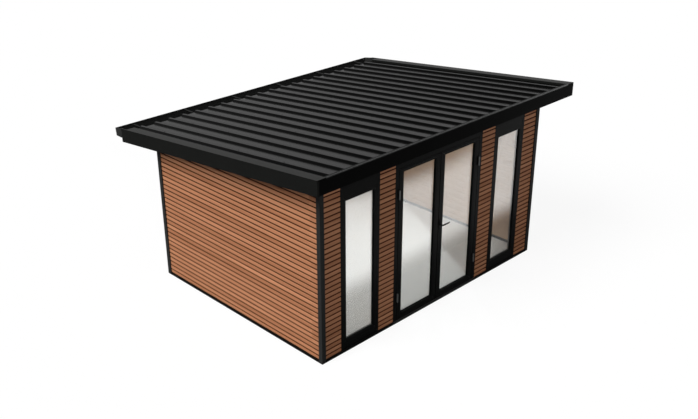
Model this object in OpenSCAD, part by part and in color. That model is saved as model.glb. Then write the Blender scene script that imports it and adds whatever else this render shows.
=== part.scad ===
// Garden shed with a low roof that falls to the rear, a glazed double door and
// two tall fixed windows. Origin: centre of the footprint, on the ground.
// The front faces -Y, +X is to the right of someone facing the doors, +Z is up.

/* [Overall] */
// Width over the corner posts
body_w = 4000; // [3400:10:4800]
// Depth over the corner posts
body_d = 3060; // [2500:10:3700]
// From the head of the door frame up to the front roof edge
header_h = 365; // [320:5:440]
// Height lost by the roof between its front and rear edges
roof_fall = 400; // [330:5:480]
// Roof overhang past the posts at each side
side_overhang = 293; // [200:1:360]
// Roof overhang past the posts at the front
front_overhang = 287; // [200:1:350]
// Roof overhang past the posts at the rear
rear_overhang = 310; // [250:1:380]

/* [Floor] */
// Thickness of the floor slab
slab_h = 55; // [45:1:66]
// Thickness of the floor covering
covering_t = 8; // [6:1:12]
// Height of the base rail under the boards
rail_h = 32; // [26:1:40]
// Height of the skirting
skirting_h = 40; // [34:1:60]
// Thickness of the skirting
skirting_t = 10; // [8:1:14]

/* [Walls] */
// Visible width of a corner post on each face
post_face = 60; // [50:1:72]
// How far the cladding lies behind the post face
cladding_setback = 15; // [12:1:18]
// Thickness of the cladding
cladding_t = 20; // [16:1:24]
// Thickness of the wall core behind the cladding
core_t = 65; // [54:1:78]
// Thickness of the inside lining
lining_t = 12; // [10:1:15]

/* [Windows] */
// Width of one window
window_w = 626; // [520:2:720]
// Width of the window side members
window_stile = 88; // [72:1:104]
// Height of the window bottom member
window_sill = 116; // [96:1:140]
// Height of the window top member
window_top = 183; // [152:1:220]
// Setback of the glass behind the frame face
glass_setback = 20; // [16:1:26]
// Thickness of a sealed glass unit
glass_t = 20; // [16:1:24]
// Depth to which a glass unit is held in its frame
glass_hold = 12; // [10:1:15]

/* [Doors] */
// Width of one door leaf
leaf_w = 730; // [620:5:880]
// Height of a door leaf
leaf_h = 2013; // [1890:1:2110]
// Thickness of a door leaf
leaf_t = 60; // [50:1:70]
// Width of the door side members
leaf_stile = 79; // [66:1:94]
// Height of the door bottom member
leaf_sill = 75; // [62:1:90]
// Height of the door top member
leaf_top = 52; // [44:1:62]
// Gap between a leaf and its jamb
jamb_gap = 7; // [6:0.5:8]
// Gap between the two leaves
meeting_gap = 10; // [9:0.5:12]
// Gap over and under a leaf
head_gap = 6; // [6:0.5:8]
// Gap between a closed leaf and its stop
stop_gap = 7; // [6:0.5:9]
// Width of the door frame members
jamb_w = 58; // [48:1:68]
// How far the stop reaches past the frame
stop_lip = 15; // [12:1:20]

/* [Hinges] */
// Radius of a hinge barrel
barrel_r = 10; // [8:0.5:12]
// Height of one knuckle
knuckle_h = 58; // [48:1:70]
// Radius of the hinge pin
pin_r = 4; // [3:0.5:5]
// From a leaf end to the middle of its hinge
hinge_inset = 318; // [270:1:380]
// From the leaf face to the barrel
barrel_standoff = 5; // [5:0.5:7]
// Thickness of a hinge blade
blade_t = 2; // [1.5:0.5:2]
// Depth of a hinge blade along the leaf edge
blade_d = 30; // [25:1:36]

/* [Handle] */
// Height of the spindle over the leaf's lower edge
spindle_up = 1047; // [900:1:1120]
// Radius of the spindle
spindle_r = 4; // [3.5:0.5:5]
// Radius of the lever's neck
neck_r = 9; // [8:0.5:10]
// Length of the lever
lever_l = 135; // [113:1:150]
// Height of the lever's bar
lever_h = 18; // [15:1:21]
// Thickness of the lever's bar
lever_t = 12; // [10:1:14]
// From the leaf face to the lever's bar
lever_out = 40; // [33:1:48]
// Width of the lock plate
plate_w = 32; // [28:1:38]
// Height of the lock plate
plate_h = 150; // [125:1:180]
// Thickness of the lock plate
plate_t = 6; // [5:1:7]

/* [Roof] */
// Distance between the ribs of the roof sheet
rib_pitch = 214; // [180:1:250]
// From the left roof edge to the middle of the first rib
rib_start = 230; // [193:1:270]
// Height of a rib
rib_h = 28; // [23:1:34]
// Width of a rib at its crown
rib_crown = 35; // [29:1:42]
// Sideways run of a rib's flank
rib_run = 15; // [12:1:18]
// Thickness of the roof sheet
sheet_t = 3; // [2:0.5:4]
// From the roof edge down to the crown of the ribs
crown_drop = 4; // [4:0.5:6]
// Thickness of the roof deck
deck_t = 65; // [55:1:78]
// Height of the edge boards
fascia_h = 180; // [165:1:216]
// Thickness of the edge boards
fascia_t = 12; // [10:1:15]
// Width of the front edge trim over the rib ends
trim_w = 30; // [25:1:36]
// Width of the side edge trims over the sheet
side_trim_w = 125; // [105:1:150]
// Thickness of the edge trims
trim_t = 3; // [2:0.5:3.5]
// Thickness of the soffit boards
soffit_t = 12; // [10:1:14]
// From the bottom of the edge boards up to the soffit
soffit_up = 8; // [6:1:12]
// Width of the battens that carry the edge boards
batten_w = 40; // [34:1:48]

/* [Gutter] */
// From the end of the side edge boards back to the end of the sheet
sheet_back = 110; // [90:1:132]
// Overhang of the sheet past the rear board
drip = 10; // [8:1:14]
// How far the gutter reaches past the side edge boards
gutter_out = 165; // [105:1:180]
// Height of the gutter at its inner side
gutter_h = 136; // [115:1:160]
// Height of the gutter at its outer lip
gutter_lip_h = 105; // [90:1:112]
// Slope of the gutter's outer side, measured as run
gutter_lean = 12; // [8:1:16]
// Thickness of the gutter's wall
gutter_t = 3; // [2.5:0.5:4]

/* [Hidden] */
$fn = 48;

half_w = body_w / 2;
half_d = body_d / 2;
skin_x = half_w - cladding_setback;
skin_y = half_d - cladding_setback;
core_x = skin_x - cladding_t;
core_y = skin_y - cladding_t;
inner_x = core_x - core_t;
inner_y = core_y - core_t;
room_x = inner_x - lining_t;
room_y = inner_y - lining_t;
post_in = cladding_setback + cladding_t + core_t;
post_step = cladding_setback + cladding_t;
floor_z = slab_h + covering_t;

door_w = 2 * leaf_w + 2 * jamb_gap + meeting_gap;
unit_w = door_w + 2 * jamb_w;
leaf_z = rail_h + head_gap;
leaf_head_z = leaf_z + leaf_h;
frame_head_z = leaf_head_z + head_gap;
unit_z = frame_head_z + jamb_w;
leaf_x0 = meeting_gap / 2;
leaf_x1 = leaf_x0 + leaf_w;
window_x = (half_w - post_face + unit_w / 2) / 2;
face_y = -skin_y;
leaf_back_y = face_y + leaf_t;
glass_y = face_y + glass_setback;

front_h = unit_z + header_h;
roof_x = half_w + side_overhang;
roof_y0 = -half_d - front_overhang;
roof_y1 = half_d + rear_overhang;
roof_tan = roof_fall / (roof_y1 - roof_y0);
roof_angle = atan(roof_tan);
sheet_y1 = roof_y1 - sheet_back;
rear_board_y = sheet_y1 - drip;
pan_drop = crown_drop + rib_h;
deck_drop = pan_drop + sheet_t;
deck_under = deck_drop + deck_t;
seat_gap = 0.2;
sheet_x = roof_x - fascia_t - seat_gap;
wall_drop = deck_under + seat_gap;
soffit_drop = fascia_h - soffit_up - soffit_t;
rib_room = 2 * roof_x - rib_start - side_trim_w - rib_crown / 2 - rib_run;
rib_count = floor(rib_room / rib_pitch) + 1;

barrel_x = door_w / 2 - jamb_gap / 2;
barrel_y = face_y - barrel_standoff - barrel_r;
pin_clearance = 0.6;
knuckle_wall = 1.4;
blade_y0 = barrel_y + pin_r + pin_clearance + knuckle_wall;
blade_y1 = face_y + blade_d;
knuckle_gap = 2;
pin_end = 1;
spindle_inset = 30;
spindle_x = leaf_x0 + spindle_inset;
spindle_z = leaf_z + spindle_up;
spindle_clearance = 2;
neck_clearance = 3;
neck_gap = 1;
neck_bite = 1;
batten_joint = 2;
sheet_inset = 6;
gutter_end_gap = 3;
cut = 1;

gutter_x = roof_x - fascia_t - gutter_end_gap;
gutter_y1 = roof_y1 + gutter_out;
gutter_z1 = roof_z(roof_y1);
gutter_z0 = gutter_z1 - gutter_h;
gutter_top = roof_z(sheet_y1) - deck_drop - gutter_t;
cap_y = sheet_y1 + gutter_t;

function roof_z(y) = front_h - (y - roof_y0) * roof_tan;

// Block between two corners.
module block(x0, x1, y0, y1, z0, z1) {
    translate([x0, y0, z0]) cube([x1 - x0, y1 - y0, z1 - z0]);
}

// Outline drawn as depth and height, stretched from one side to the other.
module along_x(x0, x1) {
    translate([x0, 0, 0]) rotate([90, 0, 90]) linear_extrude(height = x1 - x0) children();
}

// Block whose top follows the roof, a given height below it.
module under_roof(x0, x1, y0, y1, z0, drop) {
    along_x(x0, x1)
        polygon([[y0, z0], [y1, z0], [y1, roof_z(y1) - drop], [y0, roof_z(y0) - drop]]);
}

// Slab that lies along the roof between two depths below it.
module roof_slab(x0, x1, y0, y1, top, bottom) {
    along_x(x0, x1)
        polygon([[y0, roof_z(y0) - bottom], [y1, roof_z(y1) - bottom],
                 [y1, roof_z(y1) - top], [y0, roof_z(y0) - top]]);
}

module both_sides() {
    children();
    mirror([1, 0, 0]) children();
}

module front_openings() {
    high = unit_z + cut;
    block(-unit_w / 2, unit_w / 2, -half_d, 0, -cut, high);
    both_sides() block(window_x - window_w / 2, window_x + window_w / 2, -half_d, 0, -cut, high);
}

module floor_slab() color("gainsboro") {
    difference() {
        block(-core_x, core_x, -core_y, core_y, 0, slab_h);
        both_sides() block(inner_x, half_w, -half_d, -inner_y, -cut, slab_h + cut);
        both_sides() block(inner_x, half_w, inner_y, half_d, -cut, slab_h + cut);
        block(-unit_w / 2, unit_w / 2, -half_d, -inner_y, -cut, slab_h + cut);
    }
}

module floor_covering() color("white") {
    block(-inner_x, inner_x, -inner_y, inner_y, slab_h, floor_z);
}

module base_rails() color("dimgray") {
    both_sides() block(core_x, half_w, -half_d + post_face, half_d - post_face, 0, rail_h);
    both_sides() block(unit_w / 2, half_w - post_face, -half_d, -core_y, 0, rail_h);
    block(-half_w + post_face, half_w - post_face, core_y, half_d, 0, rail_h);
}

module door_threshold() color("dimgray") {
    block(-unit_w / 2, unit_w / 2, -half_d, -inner_y, 0, rail_h);
    block(-unit_w / 2, unit_w / 2, leaf_back_y + stop_gap, -inner_y, 0, slab_h);
}

module corner_posts() color("black") {
    both_sides() for (side = [-1, 1]) intersection() {
        under_roof(half_w - post_in, half_w, -half_d, half_d, 0, wall_drop);
        translate([half_w, side * half_d, 0]) mirror([1, 0, 0]) mirror([0, side > 0 ? 1 : 0, 0])
            linear_extrude(height = front_h)
                polygon([[0, 0], [post_face, 0], [post_face, post_step], [post_in, post_step],
                         [post_in, post_in], [post_step, post_in], [post_step, post_face],
                         [0, post_face]]);
    }
}

module wall_right() color("tan") {
    under_roof(inner_x, core_x, -inner_y, inner_y, slab_h, wall_drop);
}

module wall_left() color("tan") {
    mirror([1, 0, 0]) under_roof(inner_x, core_x, -inner_y, inner_y, slab_h, wall_drop);
}

module wall_rear() color("tan") {
    under_roof(-inner_x, inner_x, inner_y, core_y, slab_h, wall_drop);
}

module front_piers() color("tan") {
    difference() {
        block(-inner_x, inner_x, -core_y, -inner_y, slab_h, unit_z);
        front_openings();
    }
}

module front_header() color("tan") {
    under_roof(-inner_x, inner_x, -core_y, -inner_y, unit_z, wall_drop);
}

module cladding_right() color("peru") {
    under_roof(core_x, skin_x, -half_d + post_face, half_d - post_face, rail_h, wall_drop);
}

module cladding_left() color("peru") {
    mirror([1, 0, 0]) under_roof(core_x, skin_x, -half_d + post_face, half_d - post_face,
                                 rail_h, wall_drop);
}

module cladding_rear() color("peru") {
    under_roof(-half_w + post_face, half_w - post_face, core_y, skin_y, rail_h, wall_drop);
}

module cladding_front_piers() color("peru") {
    difference() {
        block(-half_w + post_face, half_w - post_face, -skin_y, -core_y, rail_h, unit_z);
        front_openings();
    }
}

module cladding_front_header() color("peru") {
    under_roof(-half_w + post_face, half_w - post_face, -skin_y, -core_y, unit_z, wall_drop);
}

module lining_right() color("burlywood") {
    under_roof(room_x, inner_x, -inner_y, inner_y, floor_z, wall_drop);
}

module lining_left() color("burlywood") {
    mirror([1, 0, 0]) under_roof(room_x, inner_x, -inner_y, inner_y, floor_z, wall_drop);
}

module lining_rear() color("burlywood") {
    under_roof(-room_x, room_x, room_y, inner_y, floor_z, wall_drop);
}

module lining_front_piers() color("burlywood") {
    difference() {
        block(-room_x, room_x, -inner_y, -room_y, floor_z, unit_z);
        front_openings();
    }
}

module lining_front_header() color("burlywood") {
    under_roof(-room_x, room_x, -inner_y, -room_y, unit_z, wall_drop);
}

module skirting() color("dimgray") {
    top_z = floor_z + skirting_h;
    both_sides() block(room_x - skirting_t, room_x, -room_y, room_y, floor_z, top_z);
    block(-room_x + skirting_t, room_x - skirting_t, room_y - skirting_t, room_y, floor_z, top_z);
    difference() {
        block(-room_x + skirting_t, room_x - skirting_t, -room_y, -room_y + skirting_t,
              floor_z, top_z);
        block(-unit_w / 2, unit_w / 2, -half_d, 0, 0, top_z + cut);
    }
}

module ceiling() color("white") {
    roof_slab(-room_x, room_x, -room_y, room_y, wall_drop, wall_drop + lining_t);
}

module window_frame() {
    difference() {
        union() {
            block(-window_w / 2, window_w / 2, face_y, -core_y, rail_h, unit_z);
            block(-window_w / 2, window_w / 2, -core_y, -inner_y, slab_h, unit_z);
        }
        block(-window_w / 2 + window_stile, window_w / 2 - window_stile, -half_d, 0,
              rail_h + window_sill, unit_z - window_top);
        window_glass();
    }
}

module window_glass() {
    reach = window_w / 2 - window_stile + glass_hold;
    block(-reach, reach, glass_y, glass_y + glass_t, rail_h + window_sill - glass_hold,
          unit_z - window_top + glass_hold);
}

module window_left_frame() color("black") translate([-window_x, 0, 0]) window_frame();

module window_left_glass() color("lightblue") translate([-window_x, 0, 0]) window_glass();

module window_right_frame() color("black") translate([window_x, 0, 0]) window_frame();

module window_right_glass() color("lightblue") translate([window_x, 0, 0]) window_glass();

module door_frame() color("black") {
    stop_y = leaf_back_y + stop_gap;
    difference() {
        block(-unit_w / 2, unit_w / 2, face_y, -inner_y, slab_h, unit_z);
        block(-door_w / 2, door_w / 2, -half_d, stop_y, 0, frame_head_z);
        block(-door_w / 2 + stop_lip, door_w / 2 - stop_lip, -half_d, 0, 0,
              frame_head_z - stop_lip);
    }
    both_sides() block(door_w / 2, unit_w / 2, face_y, leaf_back_y + stop_gap, rail_h, slab_h);
}

module leaf() {
    difference() {
        block(leaf_x0, leaf_x1, face_y, leaf_back_y, leaf_z, leaf_head_z);
        block(leaf_x0 + leaf_stile, leaf_x1 - leaf_stile, -half_d, 0, leaf_z + leaf_sill,
              leaf_head_z - leaf_top);
        leaf_glass();
    }
}

module leaf_glass() {
    block(leaf_x0 + leaf_stile - glass_hold, leaf_x1 - leaf_stile + glass_hold, glass_y,
          glass_y + glass_t, leaf_z + leaf_sill - glass_hold, leaf_head_z - leaf_top + glass_hold);
}

module door_left_leaf() color("black") mirror([1, 0, 0]) leaf();

module door_left_glass() color("lightblue") mirror([1, 0, 0]) leaf_glass();

module door_right_leaf() color("black") {
    difference() {
        leaf();
        translate([spindle_x, -half_d, spindle_z]) rotate([-90, 0, 0])
            cylinder(h = half_d, r = spindle_r + spindle_clearance);
    }
}

module door_right_glass() color("lightblue") leaf_glass();

module at_hinges() {
    for (z = [leaf_z + hinge_inset, leaf_head_z - hinge_inset])
        translate([barrel_x, barrel_y, z]) children();
}

module hinge_pins() color("silver") {
    both_sides() at_hinges() {
        translate([0, 0, -knuckle_h - knuckle_gap / 2]) cylinder(h = knuckle_h, r = barrel_r);
        translate([0, 0, -knuckle_h]) cylinder(h = 2 * knuckle_h - pin_end, r = pin_r);
        block(jamb_gap / 2 - blade_t, jamb_gap / 2, blade_y0 - barrel_y, blade_y1 - barrel_y,
              -knuckle_h - knuckle_gap / 2, -knuckle_gap / 2);
    }
}

module leaf_knuckles() {
    at_hinges() translate([0, 0, knuckle_gap / 2]) difference() {
        union() {
            cylinder(h = knuckle_h, r = barrel_r);
            block(-jamb_gap / 2, -jamb_gap / 2 + blade_t, blade_y0 - barrel_y,
                  blade_y1 - barrel_y, 0, knuckle_h);
        }
        translate([0, 0, -cut]) cylinder(h = knuckle_h + 2 * cut, r = pin_r + pin_clearance);
    }
}

module hinge_left_knuckles() color("silver") mirror([1, 0, 0]) leaf_knuckles();

module hinge_right_knuckles() color("silver") leaf_knuckles();

module lock_plate(y) {
    difference() {
        block(spindle_x - plate_w / 2, spindle_x + plate_w / 2, y, y + plate_t,
              spindle_z - plate_h / 2, spindle_z + plate_h / 2);
        translate([spindle_x, y - cut, spindle_z]) rotate([-90, 0, 0])
            cylinder(h = plate_t + 2 * cut, r = neck_r + neck_clearance);
    }
}

module lock_plates() color("black") {
    lock_plate(face_y - plate_t);
    lock_plate(leaf_back_y);
}

module lever_side() {
    rotate([90, 0, 0]) cylinder(h = lever_out, r = neck_r);
    block(-lever_h / 2, lever_l, -lever_out - lever_t, -lever_out, -lever_h / 2, lever_h / 2);
}

module lever_handle() color("black") {
    translate([spindle_x, face_y - neck_gap, spindle_z]) lever_side();
    translate([spindle_x, leaf_back_y + neck_gap, spindle_z]) mirror([0, 1, 0]) lever_side();
    translate([spindle_x, face_y - neck_gap - neck_bite, spindle_z]) rotate([-90, 0, 0])
        cylinder(h = leaf_t + 2 * neck_gap + 2 * neck_bite, r = spindle_r);
}

module roof_deck() color("sienna") {
    roof_slab(-roof_x + fascia_t, roof_x - fascia_t, roof_y0 + fascia_t,
              rear_board_y - fascia_t, deck_drop, deck_under);
}

module roof_sheet() color("darkslategray") {
    sheet_y0 = roof_y0 + fascia_t + sheet_inset;
    slope_len = (sheet_y1 - sheet_y0) / cos(roof_angle);
    translate([0, sheet_y0, roof_z(sheet_y0)])
        rotate([-roof_angle, 0, 0]) translate([0, slope_len, 0]) rotate([90, 0, 0])
            linear_extrude(height = slope_len) sheet_profile();
}

module sheet_profile() {
    low = (seat_gap - deck_drop) * cos(roof_angle);
    pan = low + sheet_t;
    translate([-sheet_x, low]) square([2 * sheet_x, sheet_t]);
    for (i = [0 : rib_count - 1]) translate([-roof_x + rib_start + i * rib_pitch, 0])
        polygon([[-rib_crown / 2 - rib_run, pan], [rib_crown / 2 + rib_run, pan],
                 [rib_crown / 2, pan + rib_h], [-rib_crown / 2, pan + rib_h]]);
}

module eaves_battens() color("burlywood") {
    side_x = roof_x - fascia_t;
    front_y = roof_y0 + fascia_t;
    rear_y = rear_board_y - fascia_t;
    end_x = side_x - batten_w - batten_joint;
    under = soffit_drop - seat_gap;
    both_sides() roof_slab(side_x - batten_w, side_x, front_y, rear_y, wall_drop, under);
    roof_slab(-end_x, end_x, front_y, front_y + batten_w, wall_drop, under);
    roof_slab(-end_x, end_x, rear_y - batten_w, rear_y, wall_drop, under);
}

module post_corners() {
    both_sides() for (side = [-1, 1]) translate([half_w - post_face, side * half_d, 0])
        block(0, post_face, side > 0 ? -post_face : 0, side > 0 ? 0 : post_face, 0, front_h);
}

module soffit_sides() color("dimgray") {
    difference() {
        both_sides() roof_slab(skin_x, roof_x - fascia_t, roof_y0 + fascia_t,
                               rear_board_y - fascia_t, soffit_drop, soffit_drop + soffit_t);
        post_corners();
    }
}

module soffit_ends() color("dimgray") {
    difference() {
        union() {
            roof_slab(-skin_x, skin_x, roof_y0 + fascia_t, -skin_y, soffit_drop,
                      soffit_drop + soffit_t);
            roof_slab(-skin_x, skin_x, skin_y, rear_board_y - fascia_t, soffit_drop,
                      soffit_drop + soffit_t);
        }
        post_corners();
    }
}

module side_edge() {
    roof_slab(roof_x - fascia_t, roof_x, roof_y0, roof_y1, 0, fascia_h);
    roof_slab(roof_x - side_trim_w, roof_x, roof_y0 + fascia_t, sheet_y1, 0, trim_t);
    roof_slab(roof_x - side_trim_w, roof_x - side_trim_w + trim_t,
              roof_y0 + fascia_t + trim_w, sheet_y1, 0, pan_drop - 2 * seat_gap);
}

module fascia_right() color("black") side_edge();

module fascia_left() color("black") mirror([1, 0, 0]) side_edge();

module fascia_front() color("black") {
    trim_x = roof_x - side_trim_w;
    roof_slab(-roof_x + fascia_t, roof_x - fascia_t, roof_y0, roof_y0 + fascia_t, 0, fascia_h);
    roof_slab(-trim_x, trim_x, roof_y0, roof_y0 + fascia_t + trim_w, 0, trim_t);
}

module fascia_rear() color("black") {
    roof_slab(-roof_x + fascia_t, roof_x - fascia_t, rear_board_y - fascia_t, rear_board_y,
              deck_drop + seat_gap, fascia_h);
}

module gutter_outline(inset) {
    polygon([[rear_board_y + inset, gutter_z0 + inset],
             [gutter_y1 - gutter_lean - inset, gutter_z0 + inset],
             [gutter_y1 - inset, gutter_z0 + gutter_lip_h + inset],
             [rear_board_y + inset, gutter_top + inset]]);
}

module gutter() color("black") {
    difference() {
        along_x(-gutter_x, gutter_x) gutter_outline(0);
        along_x(-gutter_x + gutter_t, gutter_x - gutter_t) gutter_outline(gutter_t);
    }
    both_sides() along_x(gutter_x - gutter_t, gutter_x)
        polygon([[cap_y, gutter_z0 + gutter_t], [gutter_y1 - gutter_lean, gutter_z0 + gutter_t],
                 [gutter_y1, gutter_z0 + gutter_lip_h], [roof_y1, gutter_z1],
                 [cap_y, gutter_z1]]);
}

floor_slab();
floor_covering();
base_rails();
door_threshold();
corner_posts();
wall_left();
wall_right();
wall_rear();
front_piers();
front_header();
cladding_left();
cladding_right();
cladding_rear();
cladding_front_piers();
cladding_front_header();
lining_left();
lining_right();
lining_rear();
lining_front_piers();
lining_front_header();
skirting();
ceiling();
window_left_frame();
window_left_glass();
window_right_frame();
window_right_glass();
door_frame();
door_left_leaf();
door_left_glass();
door_right_leaf();
door_right_glass();
hinge_pins();
hinge_left_knuckles();
hinge_right_knuckles();
lock_plates();
lever_handle();
roof_deck();
roof_sheet();
eaves_battens();
soffit_sides();
soffit_ends();
fascia_left();
fascia_right();
fascia_front();
fascia_rear();
gutter();
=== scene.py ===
import math

import bpy
import numpy as np
from mathutils import Euler, Matrix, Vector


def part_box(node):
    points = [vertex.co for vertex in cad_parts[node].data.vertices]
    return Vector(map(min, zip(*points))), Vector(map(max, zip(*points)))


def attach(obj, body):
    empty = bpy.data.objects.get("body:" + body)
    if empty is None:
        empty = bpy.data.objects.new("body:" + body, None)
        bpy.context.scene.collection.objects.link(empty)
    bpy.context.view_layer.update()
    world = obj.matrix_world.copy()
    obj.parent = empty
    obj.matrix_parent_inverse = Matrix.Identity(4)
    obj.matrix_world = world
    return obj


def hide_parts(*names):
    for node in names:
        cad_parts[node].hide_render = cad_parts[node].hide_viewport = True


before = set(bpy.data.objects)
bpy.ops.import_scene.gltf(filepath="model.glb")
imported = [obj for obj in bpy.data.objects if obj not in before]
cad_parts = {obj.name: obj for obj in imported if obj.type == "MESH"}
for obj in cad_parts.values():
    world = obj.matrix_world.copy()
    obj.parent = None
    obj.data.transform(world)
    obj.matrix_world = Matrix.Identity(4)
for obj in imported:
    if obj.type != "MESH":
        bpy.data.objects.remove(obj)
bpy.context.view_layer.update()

scene = bpy.context.scene
print("frame loaded,", len(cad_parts), "nodes")

# Camera, set first

view = {"place": (-7.958, -8.004, 6.122), "tilt": 64.735, "turn": -44.64, "roll": -0.16,
        "lens": 47.46, "sensor": 36.0}

cameraData = bpy.data.cameras.new("camera")
cameraData.lens = view["lens"]
cameraData.sensor_width = view["sensor"]
cameraObject = bpy.data.objects.new("camera", cameraData)
scene.collection.objects.link(cameraObject)
aim = Euler((math.radians(view["tilt"]), 0.0, math.radians(view["turn"]))).to_matrix()
aim = aim @ Matrix.Rotation(math.radians(view["roll"]), 3, "Z")
cameraObject.location = view["place"]
cameraObject.rotation_euler = aim.to_euler()
scene.camera = cameraObject

# Surfaces


# Rings of points joined step by step: sections[copy, step, place] is a point. Each face joins
# places j and j + 1 of one step to the same places of the next; flat caps close the two ends,
# or a ladder of quads does where the ring is a thin sheet. A copy whose volume would come out
# negative has its rings run the other way round, so every shell faces outwards.
def loft(sections, closed=False, ladder=False):
    sections = np.array(sections, float)
    sections = sections[None] if sections.ndim == 3 else sections
    copies, steps, places, _ = sections.shape
    here = np.arange(steps * places).reshape(steps, places)
    beside = np.roll(here, -1, axis=1)
    last = steps if closed else steps - 1
    quads = [here[:last], beside[:last], np.roll(beside, -1, 0)[:last], np.roll(here, -1, 0)[:last]]
    groups = [np.stack(quads, -1).reshape(-1, 4)]
    if not closed and ladder:
        j = np.arange(places // 2 - 1)
        rungs = np.stack([j + 1, j, places - 1 - j, places - 2 - j], -1)
        groups += [here[0][rungs], here[-1][rungs[:, ::-1]]]
    elif not closed:
        groups += [here[:1, ::-1], here[-1:]]
    fans = [np.stack([np.broadcast_to(g[:, :1], g[:, 2:].shape), g[:, 1:-1], g[:, 2:]], -1)
            .reshape(-1, 3) for g in groups]
    points = sections.reshape(copies, -1, 3)
    corners = (points - points.mean(1, keepdims=True))[:, np.concatenate(fans)]
    cross = np.cross(corners[:, :, 1], corners[:, :, 2])
    inward = np.einsum("cti,cti->c", corners[:, :, 0], cross) < 0
    sections[inward] = sections[inward][:, :, ::-1]
    shift = (np.arange(copies) * steps * places)[:, None, None]
    return sections.reshape(-1, 3), [(g[None] + shift).reshape(-1, g.shape[1]) for g in groups]


# Rows of limits in x, y and z, each pair put in rising order.
def inOrder(limits):
    return np.sort(np.array(limits, float).reshape(-1, 3, 2), axis=2).reshape(-1, 6)


# Boxes between two corners: a four-point ring at the lower x carried to the higher x.
def boxes(limits):
    limits = inOrder(limits)
    rings = np.empty((len(limits), 2, 4, 3))
    rings[..., 0] = limits[:, [0, 1], None]
    rings[..., 1] = limits[:, None, [2, 3, 3, 2]]
    rings[..., 2] = limits[:, None, [4, 4, 5, 5]]
    return loft(rings)


# A profile of (depth, height) points carried from one x to another.
def alongX(profile, x0, x1, ladder=False):
    profile = np.array(profile, float)
    rings = np.empty((2, len(profile), 3))
    rings[..., 0] = np.array([x0, x1])[:, None]
    rings[..., 1:] = profile
    return loft(rings, ladder=ladder)


# Rings about an axis: each step has a radius and a distance along the axis from the centre.
def turned(centres, axis, profile, places=24):
    axis = np.array(axis, float) / np.linalg.norm(axis)
    side = np.cross(axis, (0, 0, 1) if abs(axis[2]) < 0.9 else (1, 0, 0))
    side /= np.linalg.norm(side)
    angle = np.arange(places) * 2 * math.pi / places
    around = np.cos(angle)[:, None] * side + np.sin(angle)[:, None] * np.cross(axis, side)
    radius, height = np.array(profile, float).T
    rings = radius[:, None, None] * around + height[:, None, None] * axis
    return loft(np.atleast_2d(centres)[:, None, None] + rings)


# A profile carried round an upright rectangle. Each profile point is (share, offset, depth):
# share runs from 0 at the outer edge to 1 at the opening, offset is added to it in metres.
# The members meet at mitres with a hairline seam; without a sill the two sides stand free.
def mitred(outer, widths, profile, seam=0.0002, sill=True):
    x0, x1, z0, z1 = outer
    left, right, bottom, top = widths
    share, offset, depth = np.array(profile, float).T
    west, east = x0 + share * left + offset, x1 - share * right - offset
    low, high = z0 + share * bottom + offset, z1 - share * top - offset
    low = low if sill else np.full_like(low, z0)
    rings = np.stack([np.stack([x, depth, z], -1) for x, z in
                      ((west, low), (east, low), (east, high), (west, high))])
    members = rings[np.array([[1, 2], [2, 3], [3, 0]] + ([[0, 1]] if sill else []))]
    run = members[:, 1].mean(1) - members[:, 0].mean(1)
    run *= seam / np.linalg.norm(run, axis=1, keepdims=True)
    members[:, 0] += run[:, None]
    members[:, 1] -= run[:, None]
    return loft(members)


# A thin sheet's ring: an open line, then the same line moved by the thickness along its
# normals and run backwards. A positive thickness lies to the right of the line.
def sheetRing(line, thickness):
    line = np.array(line, float)
    step = np.gradient(line, axis=0)
    normal = np.stack([step[:, 1], -step[:, 0]], -1)
    normal /= np.linalg.norm(normal, axis=1, keepdims=True)
    return np.concatenate([line, (line + normal * thickness)[::-1]])


# Arc points: centre plus radius times the cosine and sine of evenly spaced angles.
def arc(centre, radius, start, end, count):
    angle = np.radians(np.linspace(start, end, count))
    return np.array(centre) + radius * np.stack([np.cos(angle), np.sin(angle)], -1)


# The roof line

fasciaLow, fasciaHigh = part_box("fascia_left")
roofLine = {"front": fasciaHigh.z, "y0": fasciaLow.y, "y1": fasciaHigh.y,
            "fascia": 0.180, "wallDrop": 0.1002, "clear": 0.0006}
roofLine["tan"] = ((fasciaHigh.z - fasciaLow.z - roofLine["fascia"])
                   / (roofLine["y1"] - roofLine["y0"]))


# Height of the roof line: the front height less the distance back times the slope.
def roofZ(y):
    return roofLine["front"] - (np.asarray(y, float) - roofLine["y0"]) * roofLine["tan"]


# Boxes laid on the slope: the last two limits are drops below the roof line, top then bottom.
def slopeBoxes(limits):
    limits = inOrder(limits)
    rings = np.empty((len(limits), 2, 4, 3))
    rings[..., 0] = limits[:, [0, 1], None]
    rings[..., 1] = limits[:, None, [2, 3, 3, 2]]
    rings[..., 2] = roofZ(limits[:, [2, 3, 3, 2]])[:, None] - limits[:, None, [5, 5, 4, 4]]
    return loft(rings)


# A profile of (depth, drop) points hung from the roof line and carried from one x to another.
def hungAlongX(profile, x0, x1):
    profile = np.array(profile, float)
    return alongX(np.stack([profile[:, 0], roofZ(profile[:, 0]) - profile[:, 1]], -1), x0, x1)


# A profile of (x, drop) points hung from the roof line and carried along the slope.
def hungAlongY(profile, y0, y1, ladder=False):
    profile = np.array(profile, float)
    rings = np.empty((2, len(profile), 3))
    rings[..., 0] = profile[:, 0]
    rings[..., 1] = np.array([y0, y1])[:, None]
    rings[..., 2] = roofZ([[y0], [y1]]) - profile[:, 1]
    return loft(rings, ladder=ladder)


cutting = {"sliver": 0.006, "shortest": 0.06, "endIn": 0.02}


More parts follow.
